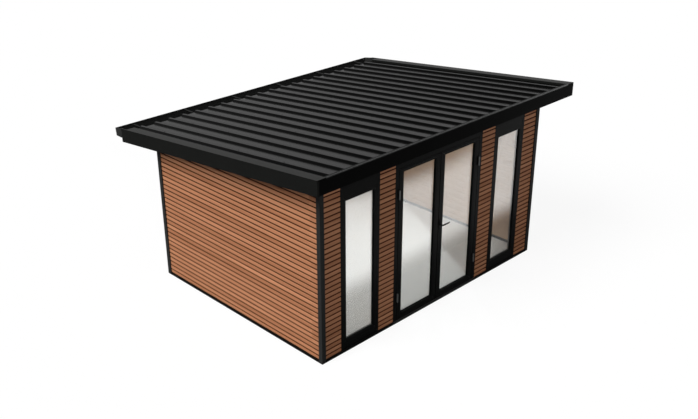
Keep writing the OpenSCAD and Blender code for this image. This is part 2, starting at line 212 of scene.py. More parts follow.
# Horizontal boards on a wall. A board's ring is a rounded face edge in depth and height; it is
# carried along the wall through three steps, and each step's height is pressed under the
# slope where that cuts the board. Walls along X have one height, so nothing is pressed there.
def boardWall(along, face, inward, spans, edges, thickness, rounding, topDrop):
    low, high = np.array(edges, float).T
    corner = rounding * (1 - math.sqrt(0.5))
    depth = np.array([thickness, rounding, corner, 0, 0, corner, rounding, thickness])
    share = np.array([0, 0, 0, 0, 1, 1, 1, 1])
    offset = np.array([0, 0, corner, rounding, -rounding, -corner, 0, 0])
    shells = []
    for start, end in spans:
        if along == "y":
            cut = roofLine["y0"] + (roofLine["front"] - topDrop - high) / roofLine["tan"]
            stop = roofLine["y0"] + (roofLine["front"] - topDrop - low - cutting["sliver"]
                                     ) / roofLine["tan"]
        else:
            fits = roofZ(face) - topDrop - low > cutting["sliver"]
            cut = stop = np.where(fits, end, start)
        keep = stop > start + cutting["shortest"]
        stop = np.minimum(stop, end)[keep]
        cut = np.clip(cut[keep], start + cutting["endIn"], stop - cutting["endIn"])
        runs = np.stack([np.full_like(stop, start), cut, stop], -1)
        place = runs if along == "y" else np.full_like(runs, face)
        top = np.minimum(high[keep][:, None], roofZ(place) - topDrop)
        height = top - low[keep][:, None]
        rings = np.empty(runs.shape + (len(depth), 3))
        across, run = (0, 1) if along == "y" else (1, 0)
        rings[..., across] = face + inward * depth
        rings[..., run] = runs[..., None]
        rings[..., 2] = low[keep][:, None, None] + height[..., None] * share + offset
        shells.append(loft(rings))
    return shells


# Pieces


# Shells joined into one mesh with its finish and body; it stands for the node, if any.
def addPiece(name, shells, finish, node=None, body="shed", ease=0.0, segments=2,
             smooth=35):
    starts = np.cumsum([0] + [len(points) for points, _ in shells])
    points = np.concatenate([points for points, _ in shells])
    faces = [group + start for (_, groups), start in zip(shells, starts) for group in groups]
    sizes = np.concatenate([np.full(len(group), group.shape[1]) for group in faces])
    loops = np.concatenate([group.ravel() for group in faces])
    mesh = bpy.data.meshes.new(name)
    mesh.vertices.add(len(points))
    mesh.vertices.foreach_set("co", points.astype(np.float32).ravel())
    mesh.loops.add(len(loops))
    mesh.loops.foreach_set("vertex_index", loops.astype(np.int32))
    mesh.polygons.add(len(sizes))
    mesh.polygons.foreach_set("loop_start", (np.cumsum(sizes) - sizes).astype(np.int32))
    mesh.polygons.foreach_set("use_smooth", np.ones(len(sizes), bool))
    mesh.update(calc_edges=True)
    mesh.validate()
    mesh.set_sharp_from_angle(angle=math.radians(smooth))
    piece = bpy.data.objects.new(name, mesh)
    scene.collection.objects.link(piece)
    mesh.materials.append(finish)
    if ease:
        bevel = piece.modifiers.new("easedEdges", "BEVEL")
        bevel.width = ease
        bevel.segments = segments
        bevel.limit_method = "ANGLE"
        bevel.angle_limit = math.radians(smooth)
        bevel.harden_normals = True
    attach(piece, body)
    if node:
        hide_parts(node)


# Node groups and finishes


# A node with its settings, each input given a value or linked to a socket.
def addNode(tree, kind, values=None, **settings):
    made = tree.nodes.new(kind if kind.startswith("NodeGroup") else "ShaderNode" + kind)
    for key, value in settings.items():
        setattr(made, key, value)
    for key, value in (values or {}).items():
        if isinstance(value, bpy.types.NodeSocket):
            tree.links.new(value, made.inputs[key])
        else:
            made.inputs[key].default_value = value
    return made


def calc(tree, operation, a, b=0.0, c=0.0):
    return addNode(tree, "Math", {0: a, 1: b, 2: c}, operation=operation).outputs[0]


def times(tree, a, b):
    return calc(tree, "MULTIPLY", a, b)


def minus(tree, a, b):
    return calc(tree, "SUBTRACT", a, b)


# A times b plus c.
def timesPlus(tree, a, b, c):
    return calc(tree, "MULTIPLY_ADD", a, b, c)


# A share of a, and the rest from b.
def shareOf(tree, a, b, share):
    return calc(tree, "ADD", times(tree, a, share), times(tree, b, minus(tree, 1.0, share)))


def mixColour(tree, factor, a, b, blend="MIX"):
    return addNode(tree, "Mix", {0: factor, 6: a, 7: b}, data_type="RGBA",
                   blend_type=blend).outputs[2]


# A value carried from one range to another.
def remap(tree, value, low, high, toLow=0.0, toHigh=1.0, curve="LINEAR"):
    return addNode(tree, "MapRange", {"Value": value, "From Min": low, "From Max": high,
                   "To Min": toLow, "To Max": toHigh}, interpolation_type=curve).outputs[0]


def noise(tree, vector, scale, detail=4.0, rough=0.55):
    return addNode(tree, "TexNoise", {"Vector": vector, "Scale": scale, "Detail": detail,
                   "Roughness": rough}).outputs["Fac"]


# A node group with named inputs that gives out colour, roughness and height.
def newGroup(name, inputs):
    tree = bpy.data.node_groups.new(name, "ShaderNodeTree")
    for key, value in inputs.items():
        kind = "NodeSocketFloat" if isinstance(value, float) else "NodeSocketColor"
        socket = tree.interface.new_socket(key, in_out="INPUT", socket_type=kind)
        socket.default_value = value
    for key, kind in (("Color", "NodeSocketColor"), ("Roughness", "NodeSocketFloat"),
                      ("Height", "NodeSocketFloat")):
        tree.interface.new_socket(key, in_out="OUTPUT", socket_type=kind)
    return tree, addNode(tree, "NodeGroupInput").outputs, addNode(tree, "NodeGroupOutput").inputs


# Links the three results to a group's outputs.
def giveOut(tree, out, colour, rough, height):
    for key, value in (("Color", colour), ("Roughness", rough), ("Height", height)):
        tree.links.new(value, out[key])
    return tree


# Grain noises: scale along the run, scale up the board, shift per tone, detail, roughness.
grainScales = {"fine": (1.6, 150.0, 17.0, 6.0, 0.62), "broad": (1.1, 22.0, 9.0, 3.0, 0.5),
               "range": (0.3, 0.7), "jump": 41.0, "frontWall": -1.35, "polish": -0.14}


# Boards: a tone drawn per board from its row and bay, and grain stretched along the run.
def boardGroup():
    tree, given, out = newGroup("boardGrain", {
        "Dark": (0.2, 0.1, 0.05, 1), "Light": (0.5, 0.3, 0.2, 1), "Pitch": 0.0625,
        "First": 0.0, "Bays": 0.75, "Streak": 0.5, "Spread": 0.5, "Rough": 0.6})
    place = addNode(tree, "TexCoord").outputs["Object"]
    xyz = addNode(tree, "SeparateXYZ", {0: place}).outputs
    row = calc(tree, "FLOOR", calc(tree, "DIVIDE", minus(tree, xyz[2], given["First"]),
                                   given["Pitch"]))
    front = calc(tree, "LESS_THAN", xyz[1], grainScales["frontWall"])
    bay = times(tree, calc(tree, "FLOOR", times(tree, xyz[0], given["Bays"])), front)
    seed = addNode(tree, "CombineXYZ", {0: row, 1: bay, 2: front}).outputs[0]
    tone = addNode(tree, "TexWhiteNoise", {"Vector": seed},
                   noise_dimensions="3D").outputs["Value"]
    run = timesPlus(tree, tone, grainScales["jump"], calc(tree, "ADD", xyz[0], xyz[1]))
    streaks = []
    for along, up, shift, detail, rough in (grainScales["fine"], grainScales["broad"]):
        at = addNode(tree, "CombineXYZ", {0: times(tree, run, along), 1: times(tree, xyz[2], up),
                                          2: times(tree, tone, shift)}).outputs[0]
        streaks.append(noise(tree, at, 1.0, detail, rough))
    grain = remap(tree, shareOf(tree, *streaks, given["Streak"]), *grainScales["range"])
    shade = shareOf(tree, tone, grain, given["Spread"])
    return giveOut(tree, out, mixColour(tree, shade, given["Dark"], given["Light"]),
                   timesPlus(tree, grain, grainScales["polish"], given["Rough"]), grain)


coatScales = {"drift": 1.7, "mottle": 9.0, "lookUp": 0.35, "patchy": (0.3, 1.7), "tint": 0.87,
              "rough": (-0.05, 0.07)}


# Coated metal: fine orange-peel, a slow drift of tone, and a thin film of dust on faces that
# look up.
def coatGroup():
    tree, given, out = newGroup("coatedMetal", {
        "Base": (0.01, 0.01, 0.01, 1), "Dust": (0.2, 0.19, 0.17, 1), "Film": 0.04,
        "Drift": 0.25, "Rough": 0.4, "Peel": 700.0})
    coords = addNode(tree, "TexCoord").outputs
    drift = noise(tree, coords["Object"], coatScales["drift"], 4.0)
    peel = noise(tree, coords["Object"], given["Peel"], 2.0)
    mottle = noise(tree, coords["Object"], coatScales["mottle"], 5.0, 0.6)
    up = addNode(tree, "SeparateXYZ", {0: coords["Normal"]}).outputs[2]
    up = calc(tree, "MAXIMUM", minus(tree, up, coatScales["lookUp"]), 0.0)
    patchy = remap(tree, mottle, 0.0, 1.0, *coatScales["patchy"])
    film = times(tree, times(tree, up, patchy), given["Film"])
    grey = timesPlus(tree, drift, given["Drift"], coatScales["tint"])
    grey = addNode(tree, "CombineColor", {0: grey, 1: grey, 2: grey}).outputs[0]
    tint = mixColour(tree, 1.0, given["Base"], grey, "MULTIPLY")
    rough = calc(tree, "ADD", given["Rough"], remap(tree, mottle, 0.0, 1.0, *coatScales["rough"]))
    return giveOut(tree, out, mixColour(tree, film, tint, given["Dust"]), rough, peel)


speckScales = {"fleck": (0.5, 0.72), "fleckShare": 0.6, "cloudShare": 0.7, "cloudRough": 0.12}


# Mineral and pressed surfaces: specks at one scale over clouds at another.
def speckGroup():
    tree, given, out = newGroup("specks", {
        "Base": (0.5, 0.5, 0.5, 1), "Speck": (0.4, 0.4, 0.4, 1), "Scale": 120.0,
        "Cloud": 1.2, "Amount": 0.2, "Rough": 0.6})
    place = addNode(tree, "TexCoord").outputs["Object"]
    fine = noise(tree, place, given["Scale"], 3.0)
    cloud = noise(tree, place, given["Cloud"], 5.0, 0.6)
    fleck = times(tree, remap(tree, fine, *speckScales["fleck"]), speckScales["fleckShare"])
    share = calc(tree, "ADD", fleck, times(tree, cloud, speckScales["cloudShare"]))
    share = times(tree, share, given["Amount"])
    return giveOut(tree, out, mixColour(tree, share, given["Base"], given["Speck"]),
                   timesPlus(tree, cloud, speckScales["cloudRough"], given["Rough"]), fine)


boardGrain = boardGroup()
coatedMetal = coatGroup()
specks = speckGroup()


def newMaterial(name):
    made = bpy.data.materials.new(name)
    made.use_nodes = True
    made.node_tree.nodes.clear()
    return made, made.node_tree


# A finish's gloss, where given, is a coat that grows towards grazing angles: its weight is
# Layer Weight's facing value raised to a power.
def makeFinish(name, group, values, shader, bumpDepth, bumpStrength, gloss=None):
    finish, tree = newMaterial(name)
    made = addNode(tree, "Group", node_tree=group)
    for key, value in values.items():
        made.inputs[key].default_value = value if isinstance(value, float) else (*value, 1)
    bump = addNode(tree, "Bump", {"Height": made.outputs["Height"], "Distance": bumpDepth,
                                  "Strength": bumpStrength})
    principled = addNode(tree, "BsdfPrincipled", {
        "Base Color": made.outputs["Color"], "Roughness": made.outputs["Roughness"],
        "Normal": bump.outputs["Normal"], **shader})
    if gloss:
        power, weight, rough, ior = gloss
        facing = addNode(tree, "LayerWeight", {"Blend": 0.5}).outputs["Facing"]
        tree.links.new(times(tree, calc(tree, "POWER", facing, power), weight),
                       principled.inputs["Coat Weight"])
        principled.inputs["Coat Roughness"].default_value = rough
        principled.inputs["Coat IOR"].default_value = ior
    addNode(tree, "OutputMaterial", {"Surface": principled.outputs[0]})
    return finish


# Each black coat: its colour, dust film, roughness, specular level and its gloss, which is
# power, weight, roughness and index.
coats = {
    "frame": ((0.0045, 0.0047, 0.0045), 0.01, 0.42, 0.03, (2.6, 0.8, 0.3, 1.5)),
    "post": ((0.026, 0.0265, 0.026), 0.01, 0.5, 0.03, (2.6, 0.6, 0.35, 1.5)),
    "sheet": ((0.0012, 0.0012, 0.0012), 0.004, 0.4, 0.01, (2.7, 1.0, 0.13, 1.5)),
    "edge": ((0.0026, 0.0027, 0.0026), 0.005, 0.5, 0.01, (3.5, 0.6, 0.4, 1.5)),
    "trim": ((0.0060, 0.0062, 0.0060), 0.01, 0.4, 0.2, (1.0, 1.0, 0.2, 1.75)),
    "side": ((0.0095, 0.0098, 0.0092), 0.01, 0.5, 0.03, (3.5, 0.7, 0.4, 1.5)),
    "gutter": ((0.026, 0.0265, 0.026), 0.01, 0.45, 0.03, (2.6, 0.8, 0.3, 1.5)),
    "handle": ((0.004, 0.004, 0.004), 0.0, 0.3, 0.03, (2.0, 1.0, 0.2, 1.5)),
    "skirting": ((0.035, 0.036, 0.035), 0.0, 0.5, 0.1, (2.0, 0.6, 0.3, 1.5)),
    "rubber": ((0.006, 0.006, 0.006), 0.0, 0.75, 0.03, (3.0, 0.3, 0.6, 1.5)),
}
black = {name: makeFinish(name + "Coat", coatedMetal, {"Base": base, "Film": film, "Rough": rough},
                          {"Specular IOR Level": level}, 0.00006, 0.35, gloss)
         for name, (base, film, rough, level, gloss) in coats.items()}
steel = makeFinish("hingeSteel", coatedMetal, {"Base": (0.15, 0.152, 0.15), "Film": 0.0,
                   "Rough": 0.42, "Drift": 0.2, "Peel": 1400.0}, {"Metallic": 0.75}, 0.00003, 0.3)

# Each board finish: dark, light, pitch, first, streak, spread, rough; then each finish has its
# specular level, bump depth and bump strength.
boardFinishes = {
    "claddingWood": ((0.30, 0.112, 0.049), (0.64, 0.30, 0.158), 0.0625, 0.0835, 0.6, 0.42, 0.66,
                     0.22, 0.0007, 0.55),
    "liningBoards": ((0.38, 0.235, 0.135), (0.51, 0.345, 0.22), 0.096, 0.063, 0.7, 0.3, 0.55,
                     0.35, 0.0003, 0.4),
    "sawnBatten": ((0.36, 0.25, 0.15), (0.56, 0.42, 0.27), 0.4, 0.0, 0.6, 0.2, 0.75,
                   0.2, 0.0005, 0.5),
    # Near-black joint colour: the dark membrane, with painted shade of the deep joint.
    "jointMembraneAndShade": ((0.020, 0.0055, 0.0020), (0.045, 0.0130, 0.0045), 0.0625, 0.0835, 0.6, 0.4,
                   0.8, 0.08, 0.0003, 0.4),
}
# Each speckled finish: base, speck, scale, cloud, amount, rough.
speckFinishes = {
    "deckBoard": ((0.42, 0.30, 0.18), (0.22, 0.13, 0.07), 60.0, 3.0, 0.6, 0.75,
                  0.2, 0.0006, 0.5),
    "wallMembrane": ((0.010, 0.005, 0.003), (0.022, 0.013, 0.008), 260.0, 2.0, 0.7, 0.85,
                     0.08, 0.0003, 0.4),
    "paleFloor": ((0.80, 0.81, 0.805), (0.70, 0.70, 0.69), 180.0, 1.0, 0.35, 0.42,
                  0.4, 0.0002, 0.25),
    "ceilingPaint": ((0.80, 0.79, 0.77), (0.72, 0.71, 0.69), 220.0, 0.9, 0.3, 0.7,
                     0.25, 0.0002, 0.3),
    "castConcrete": ((0.42, 0.41, 0.39), (0.24, 0.235, 0.22), 150.0, 2.4, 0.7, 0.8,
                     0.25, 0.0008, 0.6),
}
finishes = {}
for group, inputs, made in (
        (boardGrain, ("Dark", "Light", "Pitch", "First", "Streak", "Spread", "Rough"),
         boardFinishes),
        (specks, ("Base", "Speck", "Scale", "Cloud", "Amount", "Rough"), speckFinishes)):
    for name, row in made.items():
        level, depth, strength = row[-3:]
        finishes[name] = makeFinish(name, group, dict(zip(inputs, row)),
                                    {"Specular IOR Level": level}, depth, strength)

glassSettings = {"tint": (0.985, 0.992, 0.988, 1), "clear": (0.96, 0.97, 0.965, 1), "ior": 2.0,
                 "smudge": 0.012, "wave": 0.0004}


# Clear sealed units: plain transmission, with a faint waviness and smudges, and shadow rays
# let straight through so that the room is lit.
def glassFinish():
    finish, tree = newMaterial("clearGlass")
    place = addNode(tree, "TexCoord").outputs["Object"]
    wave = noise(tree, place, 1.4, 2.0)
    smudge = remap(tree, noise(tree, place, 3.5, 6.0, 0.7), 0.0, 1.0, 0.0, glassSettings["smudge"])
    bump = addNode(tree, "Bump", {"Height": wave, "Distance": glassSettings["wave"],
                                  "Strength": 0.2})
    glass = addNode(tree, "BsdfPrincipled", {
        "Base Color": glassSettings["tint"], "Roughness": smudge, "IOR": glassSettings["ior"],
        "Transmission Weight": 1.0, "Normal": bump.outputs["Normal"]})
    clear = addNode(tree, "BsdfTransparent", {"Color": glassSettings["clear"]})
    shadow = addNode(tree, "LightPath").outputs["Is Shadow Ray"]
    mixed = addNode(tree, "MixShader", {0: shadow, 1: glass.outputs[0], 2: clear.outputs[0]})
    addNode(tree, "OutputMaterial", {"Surface": mixed.outputs[0]})
    return finish


clearGlass = glassFinish()
print("finishes made")

# Cladding and lining

sides = (("Left", -1), ("Right", 1))
cladding = {"face": 1.985, "faceY": 1.515, "endX": 1.940, "endY": 1.470, "thickness": 0.0195,
            "rounding": 0.0020, "pitch": 0.0625, "board": 0.0450, "first": 0.0910,
            "bottom": (0.034, 0.0745), "rows": 38, "unitTop": 2.115, "ripped": 0.002}
lining = {"face": 1.888, "faceY": 1.418, "thickness": 0.0118, "rounding": 0.0014,
          "pitch": 0.096, "board": 0.0947, "first": 0.0632, "rows": 26, "endGap": 0.0002,
          "under": 0.0005, "ripped": 0.001}
joint = {"back": 0.0030, "thickness": 0.0120, "rounding": 0.0003, "under": 0.001}
frontBays = {"unit": 0.800, "windowInner": 1.057, "windowOuter": 1.683, "gap": 0.001}
slope = roofLine["wallDrop"] + roofLine["clear"]


# Lower and upper edge of each board: evenly pitched rows above the first.
def boardEdges(kit):
    low = kit["first"] + kit["pitch"] * np.arange(kit["rows"])
    return np.stack([low, low + kit["board"]], -1)


# Rows beside the windows and door, the row ripped over them, and the rows above that one.
def rowsAtUnits(edges, clear):
    crossing = np.flatnonzero(edges[:, 1] > cladding["unitTop"])[0]
    ripped = edges[crossing:crossing + 1].copy()
    ripped[:, 0] = cladding["unitTop"] + clear
    return edges[:crossing + 1], ripped, edges[crossing + 1:]


# The four piers of boards between the corners, the windows and the door.
def pierSpans(end):
    gap = frontBays["gap"]
    right = [(frontBays["windowOuter"] + gap, end),
             (frontBays["unit"] + gap, frontBays["windowInner"] - gap)]
    return [(-b, -a) for a, b in right] + right[::-1]


# Boards share one smoothing limit, which keeps their rounded edges soft.
def addBoards(name, shells, node=None, finish="claddingWood", slotName="board"):
    addPiece(name, shells, finishes[finish], node, smooth=50)


units = [(-frontBays["windowOuter"], -frontBays["windowInner"]),
         (-frontBays["unit"], frontBays["unit"]),
         (frontBays["windowInner"], frontBays["windowOuter"])]
cladEdges = np.concatenate([[cladding["bottom"]], boardEdges(cladding)])
cladSize = (cladding["thickness"], cladding["rounding"], slope)
runX, runY = cladding["endX"] - frontBays["gap"], cladding["endY"] - frontBays["gap"]
piers = pierSpans(runX)
besideRows, rippedRow, aboveRows = rowsAtUnits(cladEdges, cladding["ripped"])
for sideName, sign in sides:
    addBoards("cladding" + sideName,
              boardWall("y", sign * cladding["face"], -sign, [(-runY, runY)], cladEdges, *cladSize),
              "cladding_" + sideName.lower())
addBoards("claddingRear", boardWall("x", cladding["faceY"], -1, [(-runX, runX)], cladEdges,
                                    *cladSize), "cladding_rear")
addBoards("claddingFrontPiers", boardWall("x", -cladding["faceY"], 1, piers, besideRows,
                                          *cladSize), "cladding_front_piers")
addBoards("claddingFrontHead",
          boardWall("x", -cladding["faceY"], 1, units, rippedRow, *cladSize)
          + boardWall("x", -cladding["faceY"], 1, [(-runX, runX)], aboveRows, *cladSize),
          "cladding_front_header")

linedEdges = boardEdges(lining)
linedFront = (lining["thickness"], lining["rounding"], slope)
linedSize = linedFront[:2] + (slope + lining["under"],)
endY, endX = lining["faceY"] + lining["thickness"], lining["face"] - lining["endGap"]
besideLined, rippedLined, aboveLined = rowsAtUnits(linedEdges, lining["ripped"])
linedWalls = [("lining" + sideName, boardWall("y", sign * lining["face"], sign, [(-endY, endY)],
                                              linedEdges, *linedSize),
               "lining_" + sideName.lower()) for sideName, sign in sides]
linedWalls += [
    ("liningRear", boardWall("x", lining["faceY"], 1, [(-endX, endX)], linedEdges, *linedSize),
     "lining_rear"),
    ("liningFrontPiers", boardWall("x", -lining["faceY"], -1, pierSpans(endX), besideLined,
                                   *linedFront), "lining_front_piers"),
    ("liningFrontHead", boardWall("x", -lining["faceY"], -1, units, rippedLined, *linedFront)
     + boardWall("x", -lining["faceY"], -1, [(-endX, endX)], aboveLined, *linedFront),
     "lining_front_header")]
for wall in linedWalls:
    addBoards(*wall, "liningBoards", "lining_tan")

# Dark strips close behind the open joints, from each board's upper edge to the next one's lower: they
# stand for the dark membrane and also paint the shade deep in each joint.
lap = joint["rounding"]
strips = np.stack([cladEdges[:-1, 1] + lap, cladEdges[1:, 0] - lap], -1)
stripSize = (joint["thickness"], lap, slope + joint["under"])
stripX, stripY = cladding["face"] - joint["back"], cladding["faceY"] - joint["back"]
crossing = len(besideRows) - 1
stripShells = []
for sideName, sign in sides:
    stripShells += boardWall("y", sign * stripX, -sign, [(-runY, runY)], strips, *stripSize)
for face, inward, spans, rows in ((stripY, -1, [(-runX, runX)], strips),
                                  (-stripY, 1, piers, strips[:crossing]),
                                  (-stripY, 1, [(-runX, runX)], strips[crossing:])):
    stripShells += boardWall("x", face, inward, spans, rows, *stripSize)
addBoards("jointStrips", stripShells, finish="jointMembraneAndShade")
print("boards laid")

# Posts, base rail, skirting, ceiling

post = {"x": 2.000, "y": 1.530, "face": 0.060, "step": 0.035, "inner": 0.100, "ease": 0.0012}
outline = np.array([(0, 0), (post["face"], 0), (post["face"], post["step"]),
                    (post["inner"], post["step"]), (post["inner"], post["inner"]),
                    (post["step"], post["inner"]), (post["step"], post["face"]),
                    (0, post["face"])])
corners = np.array([(sx, sy) for sx in (-1, 1) for sy in (-1, 1)])
plan = corners[:, None] * (np.array([post["x"], post["y"]]) - outline[None])
rings = np.empty((4, 2, len(outline), 3))
rings[..., :2] = plan[:, None]
rings[:, 0, :, 2] = 0.0
rings[:, 1, :, 2] = roofZ(plan[..., 1]) - slope
addPiece("cornerPosts", [loft(rings)], black["post"], "corner_posts",
         ease=post["ease"])

rail = {"x": 2.000, "y": 1.530, "depth": 0.0345, "endX": 1.940, "endY": 1.470, "height": 0.032,
        "unit": 0.8005, "ease": 0.0015}
innerX, innerY = rail["x"] - rail["depth"], rail["y"] - rail["depth"]
railBoxes = [(s * rail["x"], s * innerX, -rail["endY"], rail["endY"], 0, rail["height"])
             for s in (-1, 1)]
railBoxes.append((-rail["endX"], rail["endX"], innerY, rail["y"], 0, rail["height"]))
railBoxes += [(s * rail["unit"], s * rail["endX"], -rail["y"], -innerY, 0, rail["height"])
              for s in (-1, 1)]
addPiece("baseRails", [boxes(railBoxes)], black["frame"], "base_rails",
         ease=rail["ease"])

skirt = {"x": 1.8878, "y": 1.4178, "thick": 0.010, "floor": 0.0632, "top": 0.103, "ease": 0.002}
sx, sy, st = skirt["x"], skirt["y"], skirt["thick"]
skirtPlan = [(-sx, -sx + st, -sy, sy), (sx - st, sx, -sy, sy), (-sx + st, sx - st, sy - st, sy),
             (-sx + st, -rail["unit"], -sy, -sy + st), (rail["unit"], sx - st, -sy, -sy + st)]
addPiece("skirtingBoards", [boxes([p + (skirt["floor"], skirt["top"]) for p in skirtPlan])],
         black["skirting"], "skirting", ease=skirt["ease"], segments=3)


# Even planks between two lines, each pair parted by a joint.
def planks(a, b, count, joint):
    lines = np.linspace(a, b, count + 1)
    return [(p + joint / 2, q - joint / 2) for p, q in zip(lines[:-1], lines[1:])]


panels = {"x": 1.8875, "y": 1.4175, "count": 3, "joint": 0.003, "top": 0.1006, "bottom": 0.112}
panelBoxes = [(a, b, -panels["y"], panels["y"], panels["top"], panels["bottom"])
              for a, b in planks(-panels["x"], panels["x"], panels["count"], panels["joint"])]
addPiece("ceilingPanels", [slopeBoxes(panelBoxes)], finishes["ceilingPaint"],
         "ceiling", ease=0.001)

# Windows

window = {"x": 1.370, "half": 0.313, "low": 0.032, "high": 2.115, "opening": 0.225,
          "openLow": 0.148, "openHigh": 1.932, "outer": 0.040, "sash": 0.048,
          "face": -1.515, "back": -1.4302, "glass": (-1.495, -1.475), "hold": 0.0118,
          "setIn": 0.002, "seam": 0.0004, "fillGap": 0.0008, "ease": 0.0011}
pane = {"thickness": 0.004, "inset": 0.0005, "gasket": 0.0035, "barGap": 0.0002, "ease": 0.0004}
bead = {"outer": 0.0235, "inner": 0.022, "recess": 0.0015, "lip": 0.012, "clear": 0.0003,
        "rebate": 0.0122, "splay": 0.002, "rise": 0.003, "inside": 0.036}


# A rebated sash: flat face, a shallow bead down to the glass, the rebate, and the inner bead.
def sashProfile(face, back, front, rear, wider=0.0):
    b = bead
    before, behind = front - b["clear"], rear + b["clear"]
    return [(0, 0, face), (1, wider - b["outer"], face), (1, wider - b["inner"], face + b["recess"]),
            (1, -b["splay"], face + b["recess"]), (1, 0, front - b["lip"]), (1, 0, before),
            (1, -b["rebate"], before), (1, -b["rebate"], behind), (1, 0, behind),
            (1, -b["splay"], rear + b["rise"]), (1, -b["inside"], back), (0, 0, back)]


# Two panes, the spacer bar between their edges, and the gasket in front of them.
def addGlass(name, body, opening, hold, depth, node, sealName):
    x0, x1, z0, z1 = opening
    front, rear = depth
    big = (x0 - hold, x1 + hold, z0 - hold, z1 + hold)
    inner = front + pane["inset"] + pane["thickness"]
    outer = rear - pane["inset"] - pane["thickness"]
    panes = [(big[0], big[1], a, b, big[2], big[3])
             for a, b in ((front + pane["inset"], inner), (outer, rear - pane["inset"]))]
    addPiece(name, [boxes(panes)], clearGlass, node, body, ease=pane["ease"], segments=1)
    g = pane["barGap"]
    bar = [(0, 0, inner + g), (1, 0, inner + g), (1, 0, outer - g), (0, 0, outer - g)]
    rubber = [(0, 0, front - 0.0004), (0, -0.0008, front - 0.0032), (1, 0, front - 0.0026),
              (1, 0, front + g)]
    spacers = mitred(big, (hold + 0.001,) * 4, bar)
    seal = mitred((x0 - g, x1 + g, z0 - g, z1 + g), (pane["gasket"],) * 4, rubber)
    addPiece(sealName, [spacers, seal], black["rubber"], body=body)


face, back, w, seam = (window[key] for key in ("face", "back", "outer", "seam"))
framed = [(0, 0, face), (1, 0, face), (1, 0, back), (0, 0, back)]
sashLow, sashHigh = window["openLow"] - window["sash"], window["openHigh"] + window["sash"]
infills = ((window["low"] + w + seam, sashLow - window["fillGap"]),
           (sashHigh + window["fillGap"], window["high"] - w - seam))
for sideName, sign in sides:
    cx = sign * window["x"]
    x0, x1 = cx - window["half"], cx + window["half"]
    inX0, inX1 = x0 + w + seam, x1 - w - seam
    shells = [mitred((x0, x1, window["low"], window["high"]), (w,) * 4, framed),
              boxes([(inX0, inX1, face + window["setIn"], back - 0.001, a, b)
                     for a, b in infills]),
              mitred((inX0, inX1, sashLow, sashHigh),
                     (window["sash"] - seam,) * 2 + (window["sash"],) * 2,
                     sashProfile(face + window["setIn"], back - 0.0005, *window["glass"],
                                 window["setIn"]))]
    addPiece("window" + sideName + "Frame", shells, black["frame"],
             "window_%s_frame" % sideName.lower(), ease=window["ease"])
    addGlass("window" + sideName + "Glass", "shed",
             (cx - window["opening"], cx + window["opening"], window["openLow"],
              window["openHigh"]), window["hold"], window["glass"],
             "window_%s_glass" % sideName.lower(), "window" + sideName + "Seals")
print("windows glazed")

# Door frame, threshold and leaves

door = {"half": 0.800, "jamb": 0.058, "top": 2.115, "low": 0.032, "face": -1.515,
        "stop": -1.448, "back": -1.4302, "lip": 0.073, "leafX": (0.005, 0.735),
        "leafZ": (0.038, 2.051), "leafBack": -1.455, "widths": (0.079, 0.079, 0.075, 0.052),
        "glass": (-1.495, -1.475), "hold": 0.0118, "frameGap": 0.0004, "topGap": 0.0003}
doorSeal = [(0.0615, -1.4482), (0.0615, -1.4508), (0.0635, -1.4528), (0.0675, -1.4528),
            (0.0695, -1.4508), (0.0695, -1.4482)]
doorWide = door["half"] - door["frameGap"]
frameProfile = [(0, 0, door["face"]), (0, door["jamb"], door["face"]),
                (0, door["jamb"], door["stop"]), (0, door["lip"], door["stop"]),
                (0, door["lip"], door["back"]), (0, 0, door["back"])]
frameShell = mitred((-doorWide, doorWide, door["low"], door["top"] - door["topGap"]),
                    (0,) * 4, frameProfile, sill=False)
addPiece("doorFrame", [frameShell], black["frame"], "door_frame", ease=0.0013)
sealShell = mitred((-door["half"], door["half"], door["low"] + 0.002, door["top"]), (0,) * 4,
                   [(0,) + point for point in doorSeal], sill=False)
addPiece("doorFrameSeal", [sealShell], black["rubber"])

sill = {"top": 0.0318, "back": -1.4305, "front": -1.530, "nose": 0.003, "stopTop": 0.0548,
        "stopFront": -1.448, "stopEase": (0.004, 0.006), "stopHalf": 0.7268, "deep": 0.0012,
        "grooves": (-1.505, -1.455, 0.010), "groove": (0, 0.001, 0.004, 0.005)}
top, stopTop = sill["top"], sill["stopTop"]
groove = np.arange(*sill["grooves"])[:, None] + np.array(sill["groove"])
floorZ = np.broadcast_to(top - sill["deep"] * np.array([0, 1, 1, 0]), groove.shape)
ridges = np.stack([groove, floorZ], -1).reshape(-1, 2)
sillProfile = np.concatenate([[(sill["back"], 0.0), (sill["front"], 0.0),
                               (sill["front"], top - sill["nose"]),
                               (sill["front"] + sill["nose"], top)], ridges,
                              [(sill["back"], top)]])
stopProfile = [(sill["back"], top), (sill["stopFront"], top),
               (sill["stopFront"], stopTop - sill["stopEase"][1]),
               (sill["stopFront"] + sill["stopEase"][0], stopTop), (sill["back"], stopTop)]
addPiece("doorThreshold", [alongX(sillProfile, -doorWide, doorWide),
                           alongX(stopProfile, -sill["stopHalf"], sill["stopHalf"])],
         black["gutter"], "door_threshold", ease=0.0005, segments=1)

left, right, bottom, top = door["widths"]
z0, z1 = door["leafZ"]
leafProfile = sashProfile(door["face"], door["leafBack"], *door["glass"])
for sideName, sign in sides:
    x0, x1 = sorted(sign * x for x in door["leafX"])
    body = sideName.lower() + "_door"
    addPiece("door" + sideName + "Leaf", [mitred((x0, x1, z0, z1), door["widths"], leafProfile)],
             black["frame"], "door_%s_leaf" % sideName.lower(), body, ease=0.0012)
    addGlass("door" + sideName + "Glass", body, (x0 + left, x1 - right, z0 + bottom, z1 - top),
             door["hold"], door["glass"], "door_%s_glass" % sideName.lower(),
             "door" + sideName + "Seals")
print("doors hung")

# Hinges

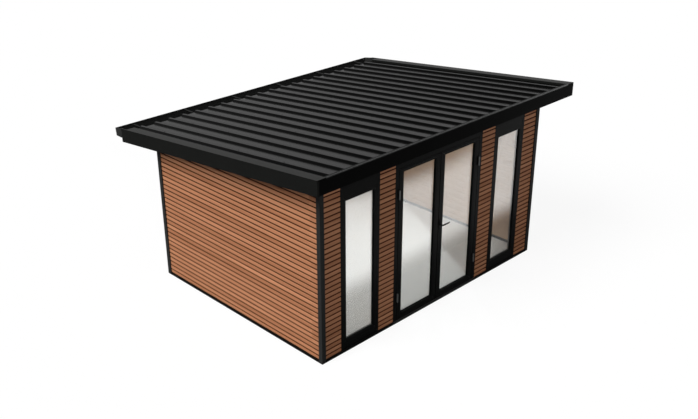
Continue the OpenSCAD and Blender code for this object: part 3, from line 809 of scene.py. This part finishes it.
hinge = {"x": 0.7385, "y": -1.530, "z": (0.356, 1.733), "radius": 0.010, "knuckle": 0.058,
         "gap": 0.001, "pin": 0.0038, "pinEnds": (-0.004, 0.0005), "cap": 0.003, "chamfer": 0.0008,
         "ring": (0.62, 0.63, 0.66, 0.67), "ringDeep": 0.0006, "blade": 0.0018,
         "bladeY": (-1.5245, -1.486), "bladeIn": 0.001, "edge": 0.735, "jamb": 0.742, "clear": 0.0001,
         "screwY": -1.500, "screws": (0.014, 0.044)}
screwHead = [(0.0034, 0.0), (0.0031, 0.0005), (0.0018, 0.0008), (0.0004, 0.0009)]


# A knuckle is turned about the pin: flat where two knuckles meet, domed at its free end, with
# a shallow ring two thirds of the way up.
def knuckle(x, upward):
    r, c, k, g = hinge["radius"], hinge["cap"], hinge["knuckle"], hinge["gap"]
    e = hinge["chamfer"]
    ring = [(r - deep, k * share) for share, deep in zip(hinge["ring"], (
        0, hinge["ringDeep"], hinge["ringDeep"], 0))]
    profile = np.concatenate([[(r - e, g), (r, g + e)], ring, arc((r - c, k + g - c), c, 0, 80, 6),
                              [(r * 0.25, k + g - hinge["clear"])]])
    return turned(pinPoints(x), (0, 0, 1 if upward else -1), profile, 28)


# The points on one side's pin line where two knuckles meet.
def pinPoints(x):
    return np.array([(x, hinge["y"], z) for z in hinge["z"]])


# Thin boxes beside the knuckles, above or below the points where two of them meet.
def blade(xs, upward):
    way = 1 if upward else -1
    near = hinge["gap"] + hinge["bladeIn"]
    far = hinge["gap"] + hinge["knuckle"] - hinge["bladeIn"]
    return boxes([xs + hinge["bladeY"] + (z + way * near, z + way * far) for z in hinge["z"]])


frameHinges = []
for sideName, sign in sides:
    x, thick, clear = sign * hinge["x"], hinge["blade"], hinge["clear"]
    leafSide = (sign * (hinge["edge"] + clear), sign * (hinge["edge"] + thick))
    jambSide = (sign * (hinge["jamb"] - thick), sign * (hinge["jamb"] - clear))
    frameHinges += [knuckle(x, False), blade(jambSide, False),
                    turned(pinPoints(x), (0, 0, 1), [(hinge["pin"], z) for z in hinge["pinEnds"]],
                           16)]
    heads = [(leafSide[1], hinge["screwY"], z + hinge["gap"] + h)
             for z in hinge["z"] for h in hinge["screws"]]
    addPiece("hinge%sKnuckles" % sideName,
             [knuckle(x, True), blade(leafSide, True), turned(heads, (sign, 0, 0), screwHead, 12)],
             steel, "hinge_%s_knuckles" % sideName.lower(),
             sideName.lower() + "_door", smooth=40)
addPiece("hingeFrameSide", frameHinges, steel, "hinge_pins", smooth=40)

# Lever and lock plates

lever = {"x": 0.035, "z": 1.085, "out": 0.040, "neck": 0.0085, "collar": 0.0105, "half": 0.009,
         "thick": 0.006, "reach": 0.132, "bend": 0.016, "places": 28, "square": 0.45,
         "taperFrom": 0.06, "taper": (0.0012, 0.0015), "faces": ((-1.515, -1), (-1.455, 1))}


# The lever's bar: a ring that starts as a circle at the neck and turns into a rounded flat bar,
# carried out from the leaf, round a quarter bend, and along to its tip, where it tapers.
def leverShell(faceY, out):
    straight, bendR = lever["out"] - lever["bend"] + lever["thick"], lever["bend"]
    corner = arc((bendR, 0), bendR, 180, 90, 9) + (0, straight)
    tail = np.stack([np.linspace(bendR + 0.006, lever["reach"], 12),
                     np.full(12, straight + bendR)], -1)
    path = np.concatenate([[(0, 0.001), (0, 0.004), (0, 0.0045), (0, straight * 0.6)], corner,
                           tail])
    step = np.gradient(path, axis=0)
    step /= np.linalg.norm(step, axis=1, keepdims=True)
    side = np.stack([step[:, 1], -step[:, 0]], -1)
    flat = np.clip((np.arange(len(path)) - 4) / 7.0, 0, 1)[:, None]
    flat = flat * flat * (3 - 2 * flat)
    start = lever["taperFrom"]
    toTip = np.clip((path[:, :1] - start) / (lever["reach"] - start), 0, 1)
    angle = np.arange(lever["places"]) * 2 * math.pi / lever["places"]
    neck = np.where(np.arange(len(path)) < 2, lever["collar"], lever["neck"])[:, None]
    u, v = ((1 - flat) * neck * wave + flat * (size - taper * toTip)
            * np.sign(wave) * np.abs(wave) ** lever["square"]
            for wave, size, taper in zip((np.cos(angle), np.sin(angle)),
                                         (lever["thick"], lever["half"]), lever["taper"]))
    rings = np.empty((len(path), lever["places"], 3))
    rings[..., 0] = lever["x"] + path[:, :1] + side[:, :1] * u
    rings[..., 1] = faceY + out * (path[:, 1:] + side[:, 1:] * u)
    rings[..., 2] = lever["z"] + v
    centre = rings[-1].mean(0)
    tip = np.stack([centre + (rings[-1] - centre) * k + np.array([dx, 0, 0])
                    for k, dx in ((0.86, 0.0018), (0.5, 0.0028))])
    return loft(np.concatenate([rings, tip]))


addPiece("leverHandle", [leverShell(*faceAndWay) for faceAndWay in lever["faces"]],
         black["handle"], "lever_handle", "lever", smooth=50)

plate = {"half": 0.016, "height": 0.075, "thick": 0.006, "radius": 0.007, "bore": 0.012,
         "ease": 0.0012, "boreEase": (1.12, 0.0014), "keyDrop": 0.046, "slotHalf": 0.005,
         "slotOut": 0.0015, "slotZ": (-0.019, -0.0075), "screws": (0.062, -0.068),
         "faces": ((-1.5151, -1), (-1.4549, 1))}
keyCylinder = [(0.0085, -0.001), (0.0085, 0.0012), (0.0079, 0.0018), (0.0060, 0.0018),
               (0.0056, 0.0012), (0.0012, 0.0012)]
plateScrew = [(0.0036, -0.0005), (0.0036, 0.0003), (0.0028, 0.0010), (0.0012, 0.0012),
              (0.0012, 0.0004), (0.0003, 0.0004)]


# A lock plate: two rounded outlines, the outer edge and the round bore, joined front and back.
def plateShell(y, out):
    r, thick = plate["radius"], plate["thick"]
    w, h = plate["half"] - r, plate["height"] - r
    outline = np.concatenate([arc(centre, r, turn, turn + 90, 12) for centre, turn in
                              (((w, h), 0), ((-w, h), 90), ((-w, -h), 180), ((w, -h), 270))])
    angle = np.arctan2(outline[:, 1], outline[:, 0])
    bore = plate["bore"] * np.stack([np.cos(angle), np.sin(angle)], -1)
    eased = outline * (1 - plate["ease"] / np.linalg.norm(outline, axis=1, keepdims=True))
    wider, sunk = plate["boreEase"]
    steps = [(outline, 0.0), (outline, thick - plate["ease"]), (eased, thick),
             (bore * wider, thick), (bore, thick - sunk), (bore, 0.0)]
    rings = np.empty((len(steps), len(outline), 3))
    for k, (points, depth) in enumerate(steps):
        rings[k, :, 0] = lever["x"] + points[:, 0]
        rings[k, :, 1] = y + out * depth
        rings[k, :, 2] = lever["z"] + points[:, 1]
    return loft(rings, closed=True)


plates = []
for faceY, out in plate["faces"]:
    surface = faceY + out * plate["thick"]
    keyZ = lever["z"] - plate["keyDrop"]
    plates += [plateShell(faceY, out),
               turned([(lever["x"], surface, keyZ)], (0, out, 0), keyCylinder, 28),
               boxes([(lever["x"] - plate["slotHalf"], lever["x"] + plate["slotHalf"], surface,
                       surface + out * plate["slotOut"], keyZ + plate["slotZ"][0],
                       keyZ + plate["slotZ"][1])]),
               turned([(lever["x"], surface, lever["z"] + rise) for rise in plate["screws"]],
                      (0, out, 0), plateScrew, 16)]
addPiece("lockPlates", plates, black["handle"], "lock_plates", "right_door",
         smooth=40)
print("door furniture fitted")

# Roof sheets

sheet = {"x": 2.2808, "y0": -1.799, "y1": 1.730, "first": -2.063, "pitch": 0.214, "ribs": 20,
         "crown": 0.0175, "foot": 0.0325, "height": 0.028, "panDrop": 0.0326, "thickness": 0.0008,
         "lapLift": 0.0009, "perSheet": 5, "lapEdge": 0.005, "bend": 0.0022}


# One sheet's top line: flat pans, and over each rib a trapezoid whose bends are eased by a
# point to either side.
def sheetLine(first, last, x0, x1, lift):
    c, f, e = sheet["crown"], sheet["foot"], sheet["bend"]
    h, low = sheet["height"], sheet["panDrop"] - lift
    up = e / (f - c) * h
    half = np.array([f + e, f + e * 0.2, f - e * 0.6, c + e * 0.6, c - e * 0.2, c - e])
    halfRise = np.array([0, up * 0.12, up * 0.7, h - up * 0.7, h - up * 0.12, h])
    along, rise = np.concatenate([-half, half[::-1]]), np.concatenate([halfRise, halfRise[::-1]])
    centres = sheet["first"] + sheet["pitch"] * np.arange(first, last + 1)
    x = (centres[:, None] + along).ravel()
    drop = (low - np.broadcast_to(rise, (len(centres), len(rise)))).ravel()
    return np.stack([np.concatenate([[x0], x, [x1]]), np.concatenate([[low], drop, [low]])], -1)


sheetShells = []
edge = sheet["foot"] + sheet["lapEdge"]
for number, first in enumerate(np.arange(0, sheet["ribs"], sheet["perSheet"])):
    last = min(first + sheet["perSheet"], sheet["ribs"] - 1)
    x0 = -sheet["x"] if number == 0 else sheet["first"] + sheet["pitch"] * first - edge
    x1 = sheet["x"] if last == sheet["ribs"] - 1 else sheet["first"] + sheet["pitch"] * last + edge
    line = sheetLine(first, last, x0, x1, sheet["lapLift"] * (number % 2))
    sheetShells.append(hungAlongY(sheetRing(line, -sheet["thickness"]), sheet["y0"], sheet["y1"],
                                  ladder=True))
addPiece("roofSheets", sheetShells, black["sheet"], "roof_sheet", smooth=28)

filler = {"crown": 0.0165, "foot": 0.0305, "low": 0.0334, "high": 0.0062,
          "ends": ((-1.790, -1.765), (1.690, 1.712))}
ribX = sheet["first"] + sheet["pitch"] * np.arange(sheet["ribs"])
fillers = [hungAlongY([(x - filler["foot"], filler["low"]), (x + filler["foot"], filler["low"]),
                       (x + filler["crown"], filler["high"]),
                       (x - filler["crown"], filler["high"])], *ends)
           for x in ribX for ends in filler["ends"]]
addPiece("ribFillers", fillers, black["rubber"])

fixing = {"rows": (-1.055, -0.270, 0.465, 1.205), "everyRib": 2}
washer = [(0.0085, -0.0003), (0.0085, 0.0007), (0.0065, 0.0016), (0.0045, 0.0020)]
roofHead = [(0.0052, 0.0012), (0.0052, 0.0030), (0.0042, 0.0036), (0.0015, 0.0036)]
normal = np.array([0.0, roofLine["tan"], 1.0])
at = np.stack(np.meshgrid(ribX[::fixing["everyRib"]], fixing["rows"], indexing="ij"), -1)
at = at.reshape(-1, 2)
crownDrop = sheet["panDrop"] - sheet["height"]
centres = np.column_stack([at[:, 0], at[:, 1], roofZ(at[:, 1]) - crownDrop])
addPiece("roofScrews", [turned(centres, normal, washer, 16), turned(centres, normal, roofHead, 6)],
         black["handle"], smooth=30)
print("roof sheeted")

# Edge boards, trims, soffit

edge = {"x": 2.293, "board": 0.0105, "cover": 0.0015, "boardTop": 0.0032, "trimDown": 0.014,
        "trimIn": 0.042, "trimWall": 0.0014, "frontWall": 0.003, "sideWall": 0.0016,
        "nose": 0.006, "seam": 0.0004, "plateTop": 0.0006, "sideIn": 0.125, "sideDown": 0.0312,
        "sideLeg": 0.0015, "tailIn": 0.014, "sheetEnd": 1.730, "lip": 0.024, "lipDrop": 0.1725,
        "fall": 0.180, "angle": 0.028, "angleClear": 0.0001, "angleLap": 0.0005, "ease": 0.0012}
rearBoard = (-2.2808, 2.2808, 1.7082, 1.7198, 0.0356, 0.180)
o, y0, y1 = edge["x"], roofLine["y0"], roofLine["y1"]
cv, th = edge["cover"], edge["board"] + edge["cover"]
boardSection = ((cv, edge["fall"]), (cv, edge["boardTop"]), (th, edge["boardTop"]),
                (th, edge["lipDrop"]), (edge["lip"], edge["lipDrop"]), (edge["lip"], edge["fall"]))


# A folded cap's section as (distance in, drop): down the outside, over the top, and back.
def capSection(width, wall):
    side = edge["trimWall"]
    return [(0, edge["trimDown"]), (0, 0), (width, 0), (width, wall), (side, wall),
            (side, edge["trimDown"])]


# A section measured in from the front edge, carried across the front.
def frontRun(section, half):
    return hungAlongX([(y0 + a, b) for a, b in section], -half, half)


# A section measured in from a side edge, carried along the slope.
def sideRun(section, sign, start, end):
    return hungAlongY([(sign * (o - a), b) for a, b in section], start, end)


trimHalf = o - edge["sideIn"] - 0.0005
plateIn = edge["nose"] + edge["seam"]
frontPlate = [(plateIn, edge["plateTop"]), (edge["trimIn"], edge["plateTop"]),
              (edge["trimIn"], edge["frontWall"]), (plateIn, edge["frontWall"])]
addPiece("fasciaFront", [frontRun(boardSection, o - cv), frontRun(frontPlate, trimHalf)],
         black["edge"], "fascia_front", ease=edge["ease"], segments=3)
addPiece("fasciaFrontTrim", [frontRun(capSection(edge["nose"], edge["frontWall"]), trimHalf)],
         black["trim"], ease=edge["ease"], segments=3)

legIn = edge["sideIn"] - edge["sideLeg"]
cap = capSection(edge["sideIn"], edge["sideWall"])
trim = cap[:3] + [(edge["sideIn"], edge["sideDown"]), (legIn, edge["sideDown"]),
                  (legIn, edge["sideWall"])] + cap[4:]
tail = capSection(edge["tailIn"], edge["sideWall"])
leg, clear = edge["angle"], cv - edge["angleClear"]
for sideName, s in sides:
    plan = np.array([(s * o, y0), (s * (o - leg), y0), (s * (o - leg), y0 + clear),
                     (s * (o - clear), y0 + clear), (s * (o - clear), y0 + leg), (s * o, y0 + leg)])
    rings = np.empty((2, len(plan), 3))
    rings[..., :2] = plan
    rings[0, :, 2] = roofZ(plan[:, 1]) - edge["fall"]
    rings[1, :, 2] = roofZ(plan[:, 1]) - edge["trimDown"] + edge["angleLap"]
    shells = [sideRun(boardSection, s, y0 + th + 0.0003, y1),
              sideRun(trim, s, y0 + edge["trimIn"] + edge["seam"], edge["sheetEnd"]),
              sideRun(cap, s, y0, y0 + edge["trimIn"]),
              sideRun(tail, s, edge["sheetEnd"] + edge["seam"], y1), loft(rings)]
    addPiece("fascia" + sideName, shells, black["side"],
             "fascia_" + sideName.lower(), ease=edge["ease"], segments=3)
addPiece("fasciaRear", [slopeBoxes([rearBoard])], black["edge"], "fascia_rear",
         ease=edge["ease"])

soffit = {"out": 2.2805, "post": 2.0005, "wall": 1.9855, "front": -1.8048, "rear": 1.6958,
          "wallY": 1.5155, "postY": 1.5305, "postIn": 1.4695, "endHalf": 1.9395, "gap": 0.0005,
          "endGap": 0.001, "joint": 0.003, "planks": 3, "rearPlanks": 2,
          "drops": (0.1602, 0.1718), "ease": 0.0014}
so, gap = soffit, soffit["gap"]
sidePlanks, endPlanks = [], []
for s in (-1, 1):
    sidePlanks += [(s * a, s * b, so["front"], so["rear"]) + so["drops"]
                   for a, b in planks(so["post"], so["out"], so["planks"], so["joint"])]
    sidePlanks.append((s * so["wall"], s * (so["post"] - gap), -so["postIn"], so["postIn"])
                      + so["drops"])
endHalf = so["post"] - so["endGap"]
for a, b in (planks(so["front"], -so["postY"], so["planks"], so["joint"])
             + planks(so["postY"], so["rear"], so["rearPlanks"], so["joint"])):
    endPlanks.append((-endHalf, endHalf, a, b) + so["drops"])
for s in (-1, 1):
    endPlanks.append((-so["endHalf"], so["endHalf"], s * (so["postY"] - gap), s * so["wallY"])
                     + so["drops"])
for name, rows, node in (("soffitSides", sidePlanks, "soffit_sides"),
                         ("soffitEnds", endPlanks, "soffit_ends")):
    addPiece(name, [slopeBoxes(rows)], black["edge"], node, ease=so["ease"])

# Gutter

gutter = {"x": 2.278, "wall": 0.0022, "back": 1.7202, "front": 1.993, "lip": 2.005,
          "low": 1.9440, "lipZ": 2.049, "backZ": 2.053, "radius": 0.010, "bead": 0.0045,
          "cap": 0.0025, "capBack": 1.733, "capTop": 2.0798, "capFront": 1.840, "capCut": 0.004}
strap = {"count": 6, "endIn": 0.25, "half": 0.012, "wall": 0.002, "backZ": 2.0445,
         "lipZ": 2.0395, "lipIn": 0.012, "start": 0.0025, "legStart": 0.0023,
         "leg": (1.99, 2.0500)}
g = gutter
bends = [arc((g["back"] + g["radius"], g["low"] + g["radius"]), g["radius"], 180, 270, 6),
         arc((g["front"] - g["radius"], g["low"] + g["radius"]), g["radius"], 270, 355, 6),
         arc((g["lip"] - g["bead"] - 0.0003, g["lipZ"] - g["bead"] - 0.001), g["bead"], -5, 250,
             16)]
gutterLine = np.concatenate([[(g["back"], g["backZ"])]] + bends)
capX, capBack = g["x"] - g["cap"], g["back"] + 0.0005
addPiece("gutterTrough", [alongX(sheetRing(gutterLine, -g["wall"]), -capX, capX, ladder=True)],
         black["gutter"], "gutter", smooth=30)
capOutline = [(capBack, g["low"]), (g["front"] - g["capCut"], g["low"]),
              (g["front"], g["low"] + g["capCut"]), (g["lip"], g["lipZ"]),
              (g["capFront"], g["capTop"]), (g["capBack"], g["capTop"]),
              (g["capBack"], g["lipZ"]), (capBack, g["lipZ"])]
capShells = [alongX(capOutline, s * (capX + 0.0001), s * g["x"]) for s in (-1, 1)]
start, end, wall = g["back"] + strap["start"], g["lip"] - strap["lipIn"], strap["wall"]
legStart, (legLow, legHigh) = g["back"] + strap["legStart"], strap["leg"]
strapSections = ([(start, strap["backZ"]), (start, strap["backZ"] - wall),
                  (end, strap["lipZ"] - wall), (end, strap["lipZ"])],
                 [(legStart, legHigh), (legStart, legLow), (legStart + wall, legLow),
                  (legStart + wall, legHigh)])
strapX = np.linspace(-g["x"] + strap["endIn"], g["x"] - strap["endIn"], strap["count"])
strapShells = [alongX(section, x - strap["half"], x + strap["half"])
               for section in strapSections for x in strapX]
addPiece("gutterEnds", capShells, black["gutter"], ease=0.0008)
addPiece("gutterStraps", strapShells, black["edge"], ease=0.0005, segments=1)
print("edges and gutter fitted")

# Finishes on the nodes that stay

kept = {"floor_slab": "castConcrete", "floor_covering": "paleFloor", "wall_left": "wallMembrane",
        "wall_right": "wallMembrane", "wall_rear": "wallMembrane", "front_piers": "wallMembrane",
        "front_header": "wallMembrane", "roof_deck": "deckBoard", "eaves_battens": "sawnBatten"}
for nodeName, finishName in kept.items():
    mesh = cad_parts[nodeName].data
    mesh.materials.clear()
    mesh.materials.append(finishes[finishName])

# Floor, world and lamps

# Near, far and the bow place the ground's painted shadow and painted pool of light, seen only in
# reflections; the low glow strength is that painted shade.
studio = {"ambient": 0.13, "ground": 300.0, "groundZ": -0.0005, "groundShare": 0.10,
          "groundColour": 0.30, "litColour": 0.90, "near": (-2.25, -2.75), "far": (-3.9, -4.6),
          "bow": 0.08, "bowX": 3.2, "paintedShadeGlow": 0.12, "glow": 1.02, "skyRise": 0.30, "skyFloor": 0.12}
suns = {"keyLight": {"strength": 3.3, "turn": 97.0, "rise": 45.0, "softness": 30.0},
        "doorLight": {"strength": 0.42, "turn": 27.4, "rise": 22.0, "softness": 1.0}}
room = {"colour": (0.93, 0.98, 1.0), "power": 26.0, "size": (1.9, 1.8),
        "place": (-0.55, 0.05, 2.02), "patchPower": 46.0, "patchPlace": (1.33, -0.35, 1.95),
        "patchTurn": 62.6, "patchRadius": 0.01}


def mixShader(tree, share, a, b):
    return addNode(tree, "MixShader", {0: share, 1: a, 2: b}).outputs[0]


def grey(value):
    return (value, value, value, 1)


# White for what the camera, gloss and glass see; a softer level for everything else.
def seenWhite(tree, seen, other):
    light = addNode(tree, "LightPath").outputs
    asked = calc(tree, "MAXIMUM", light["Is Camera Ray"],
                 calc(tree, "MAXIMUM", light["Is Glossy Ray"], light["Is Transmission Ray"]))
    return mixShader(tree, asked, other, seen)


# The world: for gloss, the white falls off towards the horizon.
world = bpy.data.worlds.new("studio")
scene.world = world
world.use_nodes = True
tree = world.node_tree
tree.nodes.clear()
lift = addNode(tree, "SeparateXYZ", {0: addNode(tree, "TexCoord").outputs["Generated"]}).outputs[2]
lift = remap(tree, lift, 0.0, studio["skyRise"], studio["skyFloor"])
glossy = addNode(tree, "LightPath").outputs["Is Glossy Ray"]
sky = timesPlus(tree, minus(tree, lift, 1.0), glossy, 1.0)
white = addNode(tree, "Background", {"Color": grey(1), "Strength": sky})
soft = addNode(tree, "Background", {"Color": grey(1), "Strength": studio["ambient"]})
addNode(tree, "OutputWorld", {"Surface": seenWhite(tree, white.outputs[0], soft.outputs[0])})

# The ground: gloss finds a painted shadow near the building, a painted pool of light in a bowed band
# before the front, and painted shade again past that band.
ground, tree = newMaterial("studioFloor")
glow = addNode(tree, "Emission", {"Color": grey(1), "Strength": studio["glow"]}).outputs[0]
paintedShadeGlow = addNode(tree, "Emission", {"Color": grey(1), "Strength": studio["paintedShadeGlow"]}).outputs[0]
bright = addNode(tree, "BsdfDiffuse", {"Color": grey(studio["litColour"])}).outputs[0]
matte = addNode(tree, "BsdfDiffuse", {"Color": grey(studio["groundColour"])}).outputs[0]
lit = mixShader(tree, studio["groundShare"], glow, bright)
xyz = addNode(tree, "SeparateXYZ", {0: addNode(tree, "TexCoord").outputs["Object"]}).outputs
offX = minus(tree, xyz[0], studio["bowX"])
bowed = timesPlus(tree, times(tree, offX, offX), studio["bow"], xyz[1])
pastNear, pastFar = (remap(tree, times(tree, y, -1.0), -limits[0], -limits[1], curve="SMOOTHSTEP")
                     for y, limits in ((xyz[1], studio["near"]), (bowed, studio["far"])))
# Painted pool of light between the near and the bowed far edge; painted shade outside it.
paintedLightBand = times(tree, pastNear, minus(tree, 1.0, pastFar))
glossy = addNode(tree, "LightPath").outputs["Is Glossy Ray"]
seen = mixShader(tree, glossy, lit, mixShader(tree, paintedLightBand, paintedShadeGlow, lit))
addNode(tree, "OutputMaterial", {"Surface": seenWhite(tree, seen, matte)})
half, low = studio["ground"], studio["groundZ"]
floorMesh = bpy.data.meshes.new("studioFloor")
floorMesh.from_pydata([(-half, -half, low), (half, -half, low), (half, half, low),
                       (-half, half, low)], [], [(0, 1, 2, 3)])
floorMesh.materials.append(ground)
floorObject = bpy.data.objects.new("studioFloor", floorMesh)
scene.collection.objects.link(floorObject)


def addLamp(name, data, power, place=(0, 0, 0), aimed=(0, 0, 0)):
    data.energy = power
    lamp = bpy.data.objects.new(name, data)
    lamp.location, lamp.rotation_euler = place, aimed
    lamp.visible_glossy = False
    scene.collection.objects.link(lamp)
    return lamp


# Each sun's light travels towards the room: turn is its bearing from -Y towards -X.
for name, sun in suns.items():
    data = bpy.data.lights.new(name, "SUN")
    data.angle = math.radians(sun["softness"])
    addLamp(name, data, sun["strength"],
            aimed=(math.radians(90 - sun["rise"]), 0, -math.radians(sun["turn"])))

# The room's lamps are not seen themselves. The second lights half the room again, up to an
# upright plane through it.
roomData = bpy.data.lights.new("roomLight", "AREA")
roomData.shape = "RECTANGLE"
roomData.size, roomData.size_y = room["size"]
patchData = bpy.data.lights.new("patchLight", "SPOT")
patchData.spot_size = math.pi
patchData.spot_blend = 0.0
patchData.shadow_soft_size = room["patchRadius"]
roomData.color = patchData.color = room["colour"]
for lamp in (addLamp("roomLight", roomData, room["power"], room["place"]),
             addLamp("patchLight", patchData, room["patchPower"], room["patchPlace"],
                     (math.radians(90), 0, math.radians(room["patchTurn"])))):
    lamp.visible_camera = lamp.visible_transmission = False
scene.view_settings.view_transform = "Standard"
print("scene lit")
